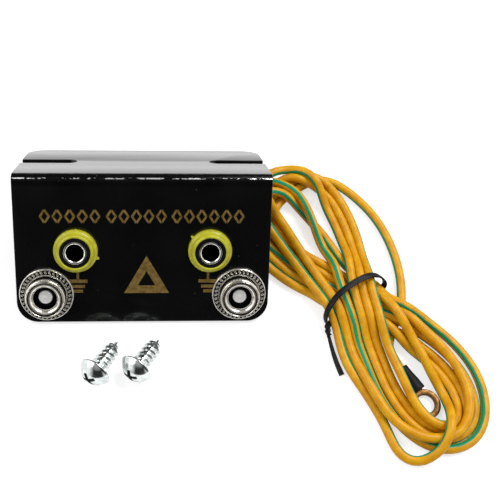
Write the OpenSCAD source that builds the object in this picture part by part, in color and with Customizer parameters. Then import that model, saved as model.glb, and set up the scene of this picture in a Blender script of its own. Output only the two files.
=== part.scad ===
// Bench grounding point for wrist straps: a bent steel bracket with two 4 mm
// banana jacks and two 10 mm snap studs, its ground lead tied in a hank, and
// the two self-tapping screws that fix it to a bench. It rests like a tent on
// the free edges of its face and its flange. The face looks forward (-Y) and
// up, the bend runs along X at the top, and Z = 0 is the table.

/* [Bracket] */
// Width of the bracket along its bend
bracket_w = 60; // [54:1:80]
// Height of the front face, from the bend to its free edge
face_h = 36; // [34:1:46]
// Depth of the mounting flange, from the bend to its free edge
flange_d = 32; // [28:1:42]
// Thickness of the steel sheet
sheet_t = 1.2; // [0.8:0.1:1.6]
// Outer radius of the bend
bend_r = 2; // [1.8:0.1:3]
// Radius of the free corners
corner_r = 5; // [1:0.5:6]

/* [Screw slots] */
// Width of a screw slot in the flange
slot_w = 4.4; // [3.2:0.1:6]
// Length of a slot, from the bracket's side to its round end
slot_l = 13.7; // [8:0.1:18]
// Distance of the slots from the bend
slot_d = 16; // [10:0.5:20]

/* [Banana jacks] */
// Distance between the two jacks
jack_spacing = 31.5; // [28:0.5:34]
// Distance of the jacks from the bend
jack_v = 18.1; // [16:0.1:20]
// Radius of the plug bore
jack_bore_r = 2; // [1:0.1:2.1]
// Radius of the socket's barrel
barrel_r = 2.5; // [2.3:0.1:2.7]
// Depth of the plug bore
jack_bore_depth = 13; // [8:0.5:13]
// Length of the barrel behind the face
barrel_l = 12; // [11.5:0.1:12.5]
// Radius of the coloured bush
bush_r = 5.15; // [4.9:0.05:6]
// Height of the bush above the face
bush_h = 2.6; // [2:0.1:4]
// Radius of the black insulating ring
ring_r = 3.6; // [3.3:0.05:3.7]
// Radius of the hole that takes the bush
bush_hole_r = 4; // [3.6:0.1:4.4]
// Width across the flats of the jack nuts
nut_af = 8; // [7:0.1:8.5]
// Thickness of the nut that clamps the jack
nut_h = 2.2; // [1.5:0.1:2.5]
// Thickness of the nut that holds the lug
terminal_nut_h = 2; // [1.5:0.1:2.5]
// Thickness of the washer behind the face
washer_t = 0.8; // [0.5:0.1:1.2]
// Thickness of the link strip and of the lug
link_t = 0.8; // [0.5:0.1:1]
// Width of the link strip
link_w = 8; // [7:0.1:10]

/* [Snap studs] */
// Distance of a stud from the face's side and from its free edge
snap_edge = 7.15; // [6.8:0.05:8]
// Radius of the ribbed base disc
snap_base_r = 6.4; // [6:0.1:6.6]
// Thickness of the base disc
snap_base_t = 0.8; // [0.5:0.1:1.2]
// Number of ribs round the base disc
snap_ribs = 36; // [24:1:48]
// Radius of the stud at its widest
stud_r = 4.65; // [4.2:0.05:4.8]
// Height of the stud above the base disc
stud_h = 3.6; // [3:0.1:4.5]
// Radius of the rivet that holds the stud
rivet_r = 1.5; // [1.2:0.1:2]
// Radius of the backing disc behind the face
backing_r = 3.8; // [3:0.1:4]

/* [Ground lead] */
// Diameter of the lead
lead_d = 2.15; // [1.8:0.05:2.2]
// Number of loops in the hank
loops = 6; // [4:2:6]
// Step from one loop to the next
loop_step = 2.75; // [2.7:0.05:3]
// Height of one layer of loops above the other
layer_step = 2.75; // [2.7:0.05:3]
// Half the length of the straight runs
run_half = 26; // [22:0.5:30]
// Radius of the largest loop at its folds
fold_r = 14.5; // [14.5:0.1:17]
// Half the width of the largest loop at the tie
waist_half = 9.2; // [9.1:0.1:12]
// Height by which the tie lifts the loops off the table
tie_lift = 0.9; // [0.8:0.05:1.2]

/* [Twist tie] */
// Thickness of the tie
tie_t = 0.5; // [0.3:0.05:0.6]
// Width of the tie
tie_w = 1.4; // [1:0.1:2.5]
// Length of the tie's free end
tie_tail = 14; // [6:0.5:16]

/* [Ring terminal] */
// Radius of the ring's hole
terminal_hole_r = 2.15; // [1.6:0.05:2.3]
// Outer radius of the ring
terminal_r = 3.4; // [3:0.1:3.6]
// Thickness of the ring
terminal_t = 0.8; // [0.5:0.1:1]
// Length of the heat-shrink sleeve
shrink_l = 6.4; // [5:0.1:7]

/* [Mounting screws] */
// Radius of the screw's head
head_r = 4; // [3:0.1:5]
// Height of the domed head
head_h = 3; // [2:0.1:3.4]
// Radius of the thread
thread_r = 2.1; // [1.6:0.1:2.2]
// Length of the screw under its head
screw_l = 9.5; // [8:0.5:16]
// Length of the pointed tip
tip_l = 2.2; // [1.5:0.1:3]

/* [Hidden] */
$fn = 64;

// Clearance of a turned part in its hole
fit = 0.05;
// Clearance of the tie round the strands
tie_gap = 0.3;

// Posture: both inner free edges of the sheet touch the table.
face_tilt = atan((flange_d - sheet_t) / (face_h - sheet_t));
ridge_z = (face_h - sheet_t) * sin(face_tilt) + sheet_t * (cos(face_tilt) + sin(face_tilt));
// Half the depth of the object, from the screw heads to the flange's free edge
reach_y = 32.2;
ridge_y = reach_y - flange_d * sin(face_tilt);
// From the face's free edge forward to the front of the screws' heads
screws_out = 16.23373;

jack_x = jack_spacing / 2;
snap_x = bracket_w / 2 - snap_edge;
snap_v = face_h - snap_edge;

// Stack behind the face at a jack, as depths from the face's front
washer_z = sheet_t;
nut_z = washer_z + washer_t;
link_z = nut_z + nut_h;
lug_z = link_z + link_t;
nut_r = nut_af / 2 / cos(30);
head_seat = bush_h - 1;
stack_hole_r = barrel_r + 2 * fit;

// A point on the face's plane, and one out from it, in the object's frame
function face_point(x, v, out) =
    [x,
     ridge_y - v * cos(face_tilt) - out * sin(face_tilt),
     ridge_z - v * sin(face_tilt) + out * cos(face_tilt)];

module on_face(x, v)
    translate([x, ridge_y, ridge_z]) rotate([face_tilt, 0, 0]) translate([0, -v, 0]) children();

module on_flange(x, d)
    translate([x, ridge_y, ridge_z]) rotate([face_tilt - 90, 0, 0]) translate([0, d, 0]) children();

// ---- Bracket ----

// Flat sheet from the bend line to a free edge with two round corners
module leaf(len) {
    straight = len - corner_r;
    translate([-bracket_w / 2, bend_r, -sheet_t])
        cube([bracket_w, straight - bend_r, sheet_t]);
    translate([-bracket_w / 2 + corner_r, bend_r, -sheet_t])
        cube([bracket_w - 2 * corner_r, len - bend_r, sheet_t]);
    for (side = [-1, 1])
        translate([side * (bracket_w / 2 - corner_r), straight, -sheet_t])
            cylinder(r = corner_r, h = sheet_t);
}

module bend()
    rotate([90, 0, 90])
        translate([-bend_r, -bend_r, -bracket_w / 2])
            linear_extrude(bracket_w)
                intersection() {
                    difference() {
                        circle(r = bend_r);
                        circle(r = bend_r - sheet_t);
                    }
                    square(bend_r);
                }

// Slot open at the bracket's side, with a round inner end
module slot(side)
    translate([side * bracket_w / 2, slot_d, -2 * sheet_t]) {
        translate([side > 0 ? -slot_l + slot_w / 2 : -1, -slot_w / 2, 0])
            cube([slot_l - slot_w / 2 + 1, slot_w, 4 * sheet_t]);
        translate([-side * (slot_l - slot_w / 2), 0, 0])
            cylinder(d = slot_w, h = 4 * sheet_t);
    }

module bracket()
    color("#141414")
    difference() {
        union() {
            on_face(0, 0) mirror([0, 1, 0]) leaf(face_h);
            on_face(0, 0) bend();
            on_flange(0, 0) leaf(flange_d);
        }
        for (side = [-1, 1]) {
            on_flange(0, 0) slot(side);
            on_face(side * jack_x, jack_v)
                translate([0, 0, -2 * sheet_t]) cylinder(r = bush_hole_r, h = 4 * sheet_t);
            on_face(side * snap_x, snap_v)
                translate([0, 0, -2 * sheet_t]) cylinder(r = rivet_r + fit, h = 4 * sheet_t);
        }
    }

// ---- Banana jacks ----

// Coloured bush: a collar through the face and a domed rim in front
module jack_bush(side)
    color("#c9c22b")
    on_face(side * jack_x, jack_v) {
        lip_r = ring_r + fit;
        rim_h = 0.9;
        crown = [for (a = [0:15:90]) [lip_r + 0.25 + (bush_r - lip_r - 0.25) * cos(a),
                                      rim_h + (bush_h - rim_h) * sin(a)]];
        rotate_extrude()
            polygon(concat([[barrel_r + fit, -sheet_t], [bush_hole_r - fit, -sheet_t],
                            [bush_hole_r - fit, 0], [bush_r, 0]],
                           crown,
                           [[lip_r, bush_h], [lip_r, head_seat], [barrel_r + fit, head_seat]]));
    }

// Black insulating ring let into the bush round the socket's head
module jack_ring(side)
    color("#0d0d10")
    on_face(side * jack_x, jack_v)
        rotate_extrude()
            polygon([[barrel_r + 0.2 + fit, head_seat], [ring_r, head_seat],
                     [ring_r, bush_h - 0.35], [ring_r - 0.15, bush_h - 0.2],
                     [barrel_r + 0.2 + fit, bush_h - 0.2]]);

// Plated socket: a head on the bush's seat and a barrel through the stack
module jack_socket(side)
    color("#d8d4c8")
    on_face(side * jack_x, jack_v) {
        mouth_z = bush_h - 0.1;
        floor_z = mouth_z - jack_bore_depth;
        mouth = 0.3;
        rotate_extrude()
            polygon([[0, -barrel_l], [barrel_r - 0.4, -barrel_l], [barrel_r, -barrel_l + 0.4],
                     [barrel_r, head_seat], [barrel_r + 0.2, head_seat], [barrel_r + 0.2, mouth_z - 0.1],
                     [barrel_r + 0.1, mouth_z], [jack_bore_r + mouth, mouth_z],
                     [jack_bore_r, mouth_z - mouth], [jack_bore_r, floor_z], [0, floor_z]]);
    }

module jack_washer(side)
    color("#b9b9b4")
    on_face(side * jack_x, jack_v)
        translate([0, 0, -washer_z - washer_t])
            difference() {
                cylinder(r = nut_r + 0.1, h = washer_t);
                translate([0, 0, -1]) cylinder(r = stack_hole_r, h = washer_t + 2);
            }

// Hexagon nut with its corners chamfered, its top at the given depth
module hex_nut(side, depth, height)
    on_face(side * jack_x, jack_v)
        translate([0, 0, -depth - height])
            difference() {
                intersection() {
                    cylinder(r = nut_r, h = height, $fn = 6);
                    rotate_extrude()
                        polygon([[0, 0], [nut_r - 0.5, 0], [nut_r, 0.35], [nut_r, height - 0.35],
                                 [nut_r - 0.5, height], [0, height]]);
                }
                translate([0, 0, -1]) cylinder(r = barrel_r + fit, h = height + 2);
            }

module jack_nut(side) color("#c4c4be") hex_nut(side, nut_z, nut_h);

// The right-hand nut sits on the lead's lug, the left-hand one on the strip
module terminal_nut(side)
    color("#c4c4be")
    hex_nut(side, side > 0 ? lug_z + link_t : lug_z, terminal_nut_h);

// Flat strip that joins the two barrels behind the face
module link_strip()
    color("#c9b27a")
    on_face(0, jack_v)
        translate([0, 0, -link_z - link_t])
            difference() {
                union() {
                    translate([-jack_x, -link_w / 2, 0]) cube([jack_spacing, link_w, link_t]);
                    for (side = [-1, 1])
                        translate([side * jack_x, 0, 0]) cylinder(d = link_w, h = link_t);
                }
                for (side = [-1, 1])
                    translate([side * jack_x, 0, -1]) cylinder(r = stack_hole_r, h = link_t + 2);
            }

// ---- Snap studs ----

// Base disc with a ring of radial ribs between its rim and the stud
module snap_base(side)
    color("#d6d0c0")
    on_face(side * snap_x, snap_v) {
        rib_in = stud_r + 0.65;
        rib_out = snap_base_r - 0.3;
        rib_h = 0.45;
        difference() {
            union() {
                rotate_extrude()
                    polygon([[0, 0], [snap_base_r, 0], [snap_base_r, snap_base_t - 0.25],
                             [snap_base_r - 0.25, snap_base_t], [0, snap_base_t]]);
                translate([0, 0, snap_base_t])
                    linear_extrude(rib_h)
                        for (i = [0:snap_ribs - 1])
                            rotate(i * 360 / snap_ribs) {
                                w_in = 3.6 * rib_in / snap_ribs;
                                w_out = 3.6 * rib_out / snap_ribs;
                                polygon([[rib_in, -w_in / 2], [rib_out, -w_out / 2],
                                         [rib_out, w_out / 2], [rib_in, w_in / 2]]);
                            }
                rotate_extrude()
                    polygon([[rib_in - 0.35, 0.1], [rib_in + 0.05, 0.1], [rib_in + 0.05, snap_base_t + rib_h],
                             [rib_in - 0.35, snap_base_t + rib_h]]);
            }
            translate([0, 0, -1]) cylinder(r = rivet_r + fit, h = snap_base_t + 2);
        }
    }

// Hollow stud: a foot on the base disc, a waist, a rolled lip and a cup
module snap_stud(side)
    color("#dcd8cc")
    on_face(side * snap_x, snap_v)
        translate([0, 0, snap_base_t]) {
            wall = 0.5;
            waist_r = stud_r - 0.75;
            lip_low = stud_h * 0.45;
            lip_high = stud_h * 0.8;
            roll_r = (stud_h - lip_high);
            roll = [for (a = [0:22.5:90]) [stud_r - roll_r + roll_r * cos(a), lip_high + roll_r * sin(a)]];
            rotate_extrude()
                polygon(concat([[rivet_r + fit, 0], [stud_r - 0.2, 0], [stud_r - 0.2, wall],
                                [waist_r, wall + 0.4], [waist_r, lip_low - 0.35], [stud_r, lip_low]],
                               roll,
                               [[waist_r - 0.3, stud_h], [waist_r - wall - 0.1, stud_h - 0.4],
                                [waist_r - wall - 0.1, wall], [rivet_r + fit, wall]]));
        }

// Rivet: domed end in the stud's cup, shank through the face, spread tail
module snap_rivet(side)
    color("#e8e4d8")
    on_face(side * snap_x, snap_v) {
        seat = snap_base_t + 0.5;
        tail = sheet_t + 0.8;
        dome_r = rivet_r + 0.5;
        dome = [for (a = [0:15:90]) [dome_r * cos(a), seat + 0.9 * sin(a)]];
        rotate_extrude()
            polygon(concat([[0, -tail - 0.4], [rivet_r + 0.4, -tail - 0.4], [rivet_r + 0.7, -tail],
                            [rivet_r, -tail], [rivet_r, seat]],
                           dome));
    }

module snap_backing(side)
    color("#c8c2b2")
    on_face(side * snap_x, snap_v)
        translate([0, 0, -sheet_t - 0.8])
            difference() {
                rotate_extrude()
                    polygon([[0, 0], [backing_r - 0.25, 0], [backing_r, 0.25], [backing_r, 0.8], [0, 0.8]]);
                translate([0, 0, -1]) cylinder(r = rivet_r + fit, h = 3);
            }

// ---- Ground lead ----

// Lug: a ring under the right-hand terminal nut and a barrel up the slope
lug_reach = 10.2;
lug_barrel_l = 5;
lug_barrel_r = 1.7;
lug_neck_w = 3.2;
lug_depth = lug_z + link_t / 2;

module lead_lug()
    color("#d0ccbc")
    on_face(jack_x, jack_v)
        translate([0, 0, -lug_z - link_t])
            difference() {
                union() {
                    cylinder(d = link_w, h = link_t);
                    translate([-lug_neck_w / 2, 0, 0])
                        cube([lug_neck_w, lug_reach - lug_barrel_l + 0.5, link_t]);
                    translate([0, lug_reach, link_t / 2])
                        rotate([90, 0, 0]) cylinder(r = lug_barrel_r, h = lug_barrel_l);
                }
                translate([0, 0, -1]) cylinder(r = stack_hole_r, h = link_t + 2);
                translate([0, lug_reach + 1, link_t / 2])
                    rotate([90, 0, 0]) cylinder(r = lead_d / 2 + fit, h = lug_barrel_l);
            }

// Hank frame: u runs along the hank away from the bracket, w across it
hank_x = 51.5;
hank_y = -10.5;
hank_angle = -62;

function hank_to_object(p) =
    [hank_x + p[0] * cos(hank_angle) - p[1] * sin(hank_angle),
     hank_y + p[0] * sin(hank_angle) + p[1] * cos(hank_angle),
     p[2]];

// Each loop has 24 rings: 3 down a half run, 6 round the far fold, 6 up the
// other run, 6 round the near fold and 3 down the last half run.
function ease(a) = (1 - cos(180 * max(0, min(1, a)))) / 2;
function inset(k) = loop_step * (k < 12 * loops ? k / 24 : loops - k / 24);
// The first loop's run on the far side passes outside the tie
function pinched(k) = k > 9 && k < 15 ? 0 : 1;
function half_width(u, k) =
    fold_r - inset(k) - pinched(k) * (fold_r - waist_half) * (1 - ease(abs(u) / run_half));
function lift(u, k) = pinched(k) * tie_lift * exp(-pow(u / 6, 2));
function layer_z(k) = lead_d / 2 + fit + layer_step * ease((k / 24 - loops / 2 + 0.125) / 0.25);
function on_run(u, side, k) = [u, side * half_width(u, k), layer_z(k) + lift(u, k)];
function on_fold(turn, end, k) =
    [end * (run_half + (fold_r - inset(k)) * sin(turn)),
     -end * (fold_r - inset(k)) * cos(turn),
     layer_z(k)];
function loop_point(m, k) =
    m < 3 ? on_run(run_half * m / 3, -1, k) :
    m < 9 ? on_fold(30 * (m - 3), 1, k) :
    m < 15 ? on_run(run_half * (1 - (m - 9) / 3), 1, k) :
    m < 21 ? on_fold(30 * (m - 15), -1, k) :
    on_run(-run_half * (1 - (m - 21) / 3), -1, k);
function hank_point(k) = loop_point(k - 24 * floor(k / 24), k);

hank_start = -3;
hank_end = 24 * loops + 0.4;
hank_route = [for (k = [hank_start:24 * loops]) hank_to_object(hank_point(k)),
              hank_to_object(hank_point(hank_end))];

function unit(v) = v / norm(v);
function last(list) = list[len(list) - 1];

// Unit direction of a route at point i
function heading(route, i) =
    unit(route[min(i + 1, len(route) - 1)] - route[max(i - 1, 0)]);

// One ring of a tube round point i of a route
function tube_ring(route, i, r, sides) =
    let (ahead = heading(route, i),
         across = unit(cross(ahead, abs(ahead[2]) > 0.9 ? [1, 0, 0] : [0, 0, 1])),
         up = cross(across, ahead))
    [for (s = [0:sides - 1])
        route[i] + r * (cos(360 * s / sides) * across + sin(360 * s / sides) * up)];

// Closed tube along a route, flat at both ends
module tube(route, r, sides) {
    n = len(route);
    rings = [for (i = [0:n - 1]) each tube_ring(route, i, r, sides)];
    walls = [for (i = [0:n - 2], s = [0:sides - 1])
                let (t = (s + 1) % sides, a = i * sides, b = a + sides)
                each [[a + s, b + s, b + t], [a + s, b + t, a + t]]];
    near_end = [for (s = [1:sides - 2]) [0, s, s + 1]];
    tip = (n - 1) * sides;
    far_end = [for (s = [1:sides - 2]) [tip, tip + s + 1, tip + s]];
    polyhedron(rings, concat(near_end, walls, far_end));
}

// Curve through hand-set points, with extra points between them
function curve_point(p, i, t) =
    let (a = p[max(i - 1, 0)], b = p[i], c = p[i + 1], d = p[min(i + 2, len(p) - 1)])
    0.5 * (2 * b + (c - a) * t + (2 * a - 5 * b + 4 * c - d) * t * t + (3 * b - a - 3 * c + d) * t * t * t);
function curve(p, steps) =
    concat([for (i = [0:len(p) - 2], s = [0:steps - 1]) curve_point(p, i, s / steps)], [last(p)]);

// Free stretch: out of the lug, over inside the bend and down to the hank
lug_mouth = face_point(jack_x, jack_v - lug_reach + lug_barrel_l - 1, -lug_depth);
slope_up = [0, cos(face_tilt), sin(face_tilt)];
hank_first = hank_route[0];
hank_first_way = unit(hank_route[1] - hank_route[0]);
lead_points = concat(
    [for (s = [0, 2, 4, 6]) lug_mouth + s * slope_up],
    [[17, 11.8, 17.4], [19.4, 12.4, 15.4], [20.8, 12.2, 11.6], [21.4, 11.8, 7.6], [22.1, 11.2, 4.4], [23.2, 10.4, 2], [24.2, 9.1, 1.3]],
    [for (s = [2.6, 1.3, 0]) hank_first - s * hank_first_way]);
lead_route = curve(lead_points, 2);

// Tail: over the runs below the tie and down to the terminal inside the fold
ring_at = [29.2, 0.3];
terminal_axis_z = 1.8;
terminal_barrel_l = 4.4;
tail_last_u = ring_at[0] - terminal_r - terminal_barrel_l + 0.2;
hank_last = last(hank_route);
hank_last_way = unit(hank_last - hank_route[len(hank_route) - 2]);
tail_points = concat(
    [for (s = [0, 1.1, 2.2]) hank_last + s * hank_last_way],
    [for (p = [[8, -9.9, 5.4], [9.6, -8.6, 6.7], [11.4, -6, 7.3], [13.2, -3.2, 6.7],
               [14.9, -1.4, 5.2], [16.2, -0.5, 3.6], [17.6, 0, 2.4]]) hank_to_object(p)],
    [for (s = [3.2, 1.6, 0]) hank_to_object([tail_last_u - s, ring_at[1], terminal_axis_z])]);
tail_route = curve(tail_points, 2);

module ground_lead() color("#e0a020") tube(lead_route, lead_d / 2, 8);
module ground_lead_hank() color("#e6a51e") tube(hank_route, lead_d / 2, 6);
module ground_lead_tail() color("#e0a020") tube(tail_route, lead_d / 2, 8);

// Least gap of the hank to itself, from each point to each farther segment
function to_segment(p, a, b) =
    let (s = max(0, min(1, (p - a) * (b - a) / ((b - a) * (b - a))))) norm(p - a - s * (b - a));
function self_gap(route, apart) =
    min([for (i = [0:len(route) - 1], j = [i + apart:len(route) - 2])
            to_segment(route[i], route[j], route[j + 1])]) - lead_d;
function route_length(route, i = 1) =
    i < len(route) ? norm(route[i] - route[i - 1]) + route_length(route, i + 1) : 0;
union() {
    echo(hank_self_gap = self_gap(hank_route, 4));
    echo(lead_length = route_length(lead_route) + route_length(hank_route) + route_length(tail_route));
}

module in_hank(u, w, z)
    translate([hank_x, hank_y, 0]) rotate([0, 0, hank_angle]) translate([u, w, z]) children();

// Crimped ring terminal: a flat ring, a neck and a barrel above their level
terminal_drop = 1.2;
terminal_barrel_r = 1.15;
neck_w = 2.6;
neck_l = 1.4;

module ring_terminal()
    color("#b88a3c")
    in_hank(ring_at[0], ring_at[1], terminal_axis_z - terminal_drop)
        difference() {
            union() {
                cylinder(r = terminal_r, h = terminal_t);
                translate([-terminal_r - 0.6, -neck_w / 2, 0]) cube([0.6 + neck_l, neck_w, terminal_t]);
                translate([-terminal_r - terminal_barrel_l + 0.2, 0, terminal_drop])
                    rotate([0, 90, 0]) cylinder(r = terminal_barrel_r, h = terminal_barrel_l);
            }
            translate([0, 0, -1]) cylinder(r = terminal_hole_r, h = terminal_t + 2);
            translate([-terminal_r + 0.2, -2, terminal_t]) cube([3, 4, 3]);
        }

// Heat-shrink sleeve over the terminal's barrel and the lead's end
module heat_shrink() {
    sleeve_in = terminal_barrel_r + fit;
    sleeve_r = 1.75;
    narrow_r = 1.4;
    color("#15151a")
    in_hank(ring_at[0] - terminal_r - 0.7, ring_at[1], terminal_axis_z)
        rotate([0, -90, 0])
            rotate_extrude()
                polygon([[sleeve_in, 0], [sleeve_r - 0.1, 0], [sleeve_r, 0.3],
                         [sleeve_r - 0.05, shrink_l * 0.55],
                         [narrow_r, shrink_l], [sleeve_in, shrink_l]]);
}

// ---- Twist tie ----

// Rounded oblong between two corners in the plane across the hank
module oblong(half_w, low, high, r) {
    translate([-half_w + r, low]) square([2 * (half_w - r), high - low]);
    translate([-half_w, low + r]) square([2 * half_w, high - low - 2 * r]);
    for (side = [-1, 1], z = [low + r, high - r])
        translate([side * (half_w - r), z]) circle(r = r);
}

module twist_tie() {
    half_w = waist_half + lead_d / 2 + tie_gap;
    low = tie_lift + fit - tie_gap;
    high = tie_lift + fit + layer_step + lead_d + tie_gap;
    round_r = lead_d / 2 + tie_gap;
    knot_w = -half_w - tie_t - 0.6;
    slice_l = 0.5;
    slice_turn = 40;
    slice_drop = 0.12;
    tail_swing = 15;
    tail_fall = 6.5;
    color("#1c1c20") {
        in_hank(-tie_w / 2, 0, 0)
            rotate([90, 0, 90])
                linear_extrude(tie_w)
                    difference() {
                        oblong(half_w + tie_t, low - tie_t, high + tie_t, round_r + tie_t);
                        oblong(half_w, low, high, round_r);
                    }
        // The two ends twisted together, as a stack of turned slices
        for (i = [0:8])
            in_hank(-0.6 + i * slice_l, knot_w, (low + high) / 2 - i * slice_drop)
                rotate([slice_turn * i, 0, 0])
                    translate([0, -tie_w / 2, -tie_t])
                        cube([slice_l + 0.05, tie_w, 2 * tie_t]);
        // The free end, laid down beside the hank
        in_hank(7 * slice_l, knot_w, (low + high) / 2 - 8 * slice_drop)
            rotate([0, 0, -tail_swing]) rotate([0, tail_fall, 0])
                translate([0, -tie_w / 2, -tie_t / 2])
                    cube([tie_tail, tie_w, tie_t]);
    }
}

// ---- Mounting screws ----

// Radius of the sphere that the domed head is cut from
dome_r = (head_r * head_r + head_h * head_h) / 2 / head_h;
// The screw lies on its head's rim and on the last full crest of its thread
screw_tilt = atan((head_r - thread_r) / (screw_l - tip_l));

module screw() {
    recess_l = 4.2;
    recess_w = 0.9;
    recess_depth = 1.6;
    color("#d4d6d6")
    difference() {
        union() {
            intersection() {
                translate([0, 0, head_h - dome_r]) sphere(r = dome_r);
                cylinder(r = head_r, h = head_h + 1);
            }
            translate([0, 0, tip_l - screw_l]) cylinder(r = thread_r, h = screw_l - tip_l);
            translate([0, 0, -screw_l]) cylinder(r1 = 0.2, r2 = thread_r, h = tip_l);
        }
        for (turn = [0, 90])
            rotate(turn)
                translate([-recess_l / 2, -recess_w / 2, head_h - recess_depth])
                    cube([recess_l, recess_w, head_h]);
        translate([0, 0, head_h - recess_depth - 0.6])
            cylinder(r1 = recess_w / 2, r2 = 1.3, h = recess_depth + 0.7);
    }
}

// Lays a screw on the table, pointing along azimuth, its dome's centre over x
module laid_screw(x, back, azimuth)
    translate([x, ridge_y - face_h * cos(face_tilt) - screws_out + dome_r + back, head_r * cos(screw_tilt) - (dome_r - head_h) * sin(screw_tilt)])
        rotate([0, 0, azimuth])
            rotate([0, screw_tilt - 90, 0])
                translate([0, 0, dome_r - head_h])
                    screw();

module mounting_screw_left() laid_screw(-10.4, 0, 57);
module mounting_screw_right() laid_screw(-0.8, 0.6, 55);

bracket();
jack_bush(-1);  // jack_bush_left
jack_bush(1);  // jack_bush_right
jack_ring(-1);  // jack_ring_left
jack_ring(1);  // jack_ring_right
jack_socket(-1);  // jack_socket_left
jack_socket(1);  // jack_socket_right
jack_washer(-1);  // jack_washer_left
jack_washer(1);  // jack_washer_right
jack_nut(-1);  // jack_nut_left
jack_nut(1);  // jack_nut_right
terminal_nut(-1);  // terminal_nut_left
terminal_nut(1);  // terminal_nut_right
link_strip();
snap_base(-1);  // snap_base_left
snap_base(1);  // snap_base_right
snap_stud(-1);  // snap_stud_left
snap_stud(1);  // snap_stud_right
snap_rivet(-1);  // snap_rivet_left
snap_rivet(1);  // snap_rivet_right
snap_backing(-1);  // snap_backing_left
snap_backing(1);  // snap_backing_right
lead_lug();
ground_lead();
ground_lead_hank();
ground_lead_tail();
heat_shrink();
ring_terminal();
twist_tie();
mounting_screw_left();
mounting_screw_right();
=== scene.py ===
# %% [markdown]
# A grounding bracket for wrist straps: a bent, black painted steel plate with
# two yellow banana jacks and two snap studs, a green and yellow ground lead
# tied in a hank, and two loose screws. Everything below adds finishes to them
# or puts a finer piece in the place of one.

# %% Load the frame
import math
import bpy
import numpy as np
from mathutils import Matrix, Vector


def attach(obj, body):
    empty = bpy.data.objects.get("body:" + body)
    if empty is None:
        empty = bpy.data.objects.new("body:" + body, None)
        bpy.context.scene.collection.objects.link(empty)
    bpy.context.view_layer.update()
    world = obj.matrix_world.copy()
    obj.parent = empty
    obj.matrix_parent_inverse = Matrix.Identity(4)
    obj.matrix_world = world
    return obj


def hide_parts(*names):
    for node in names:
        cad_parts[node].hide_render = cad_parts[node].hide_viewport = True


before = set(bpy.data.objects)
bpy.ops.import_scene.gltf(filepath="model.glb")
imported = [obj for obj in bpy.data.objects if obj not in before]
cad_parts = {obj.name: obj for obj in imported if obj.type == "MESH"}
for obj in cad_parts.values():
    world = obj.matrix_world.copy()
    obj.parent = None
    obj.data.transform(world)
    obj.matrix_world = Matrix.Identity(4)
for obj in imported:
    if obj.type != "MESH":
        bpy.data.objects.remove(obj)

MM = 0.001
scene = bpy.context.scene
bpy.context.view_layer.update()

# %% [markdown]
# The bracket stands like a tent: its face leans back, and its flange falls
# away behind the bend. Most small pieces sit on the face, so one matrix turns
# flat work into work on the face: X along the bend, Y up the face, Z out of it.

# %% Places on the bracket
FACE_H, FLANGE_D, SHEET_T, REACH_Y = 36, 32, 1.2, 32.2
TILT = math.atan((FLANGE_D - SHEET_T) / (FACE_H - SHEET_T))
RIDGE_Z = (FACE_H - SHEET_T) * math.sin(TILT) + SHEET_T * (math.cos(TILT) + math.sin(TILT))
RIDGE_Y = REACH_Y - FLANGE_D * math.sin(TILT)
JACK_X, JACK_V = 15.75, 18.1
SNAP_X, SNAP_V = 22.85, 28.85
move = Matrix.Translation
TO_METRES = Matrix.Scale(MM, 4)


def rotated(degrees, axis="Z"):
    return Matrix.Rotation(math.radians(degrees), 4, axis)


def on_face(x, v):
    """Matrix that carries millimetres of flat work to a place on the face, in metres."""
    return TO_METRES @ move((0, RIDGE_Y, RIDGE_Z)) @ Matrix.Rotation(TILT, 4, "X") @ move((x, -v, 0))


print("face tilt", round(math.degrees(TILT), 2), "ridge", round(RIDGE_Y, 2), round(RIDGE_Z, 2))

# %% [markdown]
# The camera stands in front of the bracket and looks steeply down at it. Its
# lens is a short telephoto, and a small shift puts the bracket left of the
# middle, so that the hank has room on the right. Its matrix is written as
# three directions and a place, which says more than three angles would.

# %% Camera
YAW, PITCH, ROLL = (math.radians(a) for a in (7.103, 65.091, 6.393))
CAMERA_AT = (2.19, -82.79, 187.35)
FOCAL, WIDE, CENTRE = 816.5, 500, 195
ahead = Vector((math.sin(YAW) * math.cos(PITCH), math.cos(YAW) * math.cos(PITCH), -math.sin(PITCH)))
level = Vector((math.cos(YAW), -math.sin(YAW), 0))
upright = level.cross(ahead)
right = math.cos(ROLL) * level + math.sin(ROLL) * upright
above = -math.sin(ROLL) * level + math.cos(ROLL) * upright
lens = bpy.data.cameras.new("camera")
camera = bpy.data.objects.new("camera", lens)
scene.collection.objects.link(camera)
camera.matrix_world = Matrix([(right[k], above[k], -ahead[k], CAMERA_AT[k] * MM) for k in range(3)] + [(0, 0, 0, 1)])
lens.sensor_width = 36
lens.lens = 36 * FOCAL / WIDE
lens.shift_x = (WIDE / 2 - CENTRE) / WIDE
lens.clip_start, lens.clip_end = 0.01, 10
scene.camera = camera
print("camera lens", round(lens.lens, 1), "mm")

# %% [markdown]
# The ground lead is one limp wire, 2.25 mm thick. It leaves the lug behind the
# face, comes down at the bracket's open side and runs six times round a hank
# in the shape of an 8. Runs that go away from the bracket lie on top in the
# tie, and runs that come back lie under them. The route is drawn in the hank's
# own directions: u along it, w across it.

# %% Hank: directions and loops
LEAD_D = 2.25
LEAD_R = LEAD_D / 2
HANK_X, HANK_Y, HANK_TURN = 51.5, -10.5, math.radians(-62)
HANK_COS, HANK_SIN = math.cos(HANK_TURN), math.sin(HANK_TURN)


def hank_way(p):
    """Directions along, across and up the hank, as the object's own."""
    u, w, z = np.moveaxis(np.asarray(p, float), -1, 0)
    return np.stack([u * HANK_COS - w * HANK_SIN, u * HANK_SIN + w * HANK_COS, z], -1)


def from_hank(p):
    """Places in the hank, as the object's own, in millimetres."""
    return hank_way(p) + (HANK_X, HANK_Y, 0)


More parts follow.
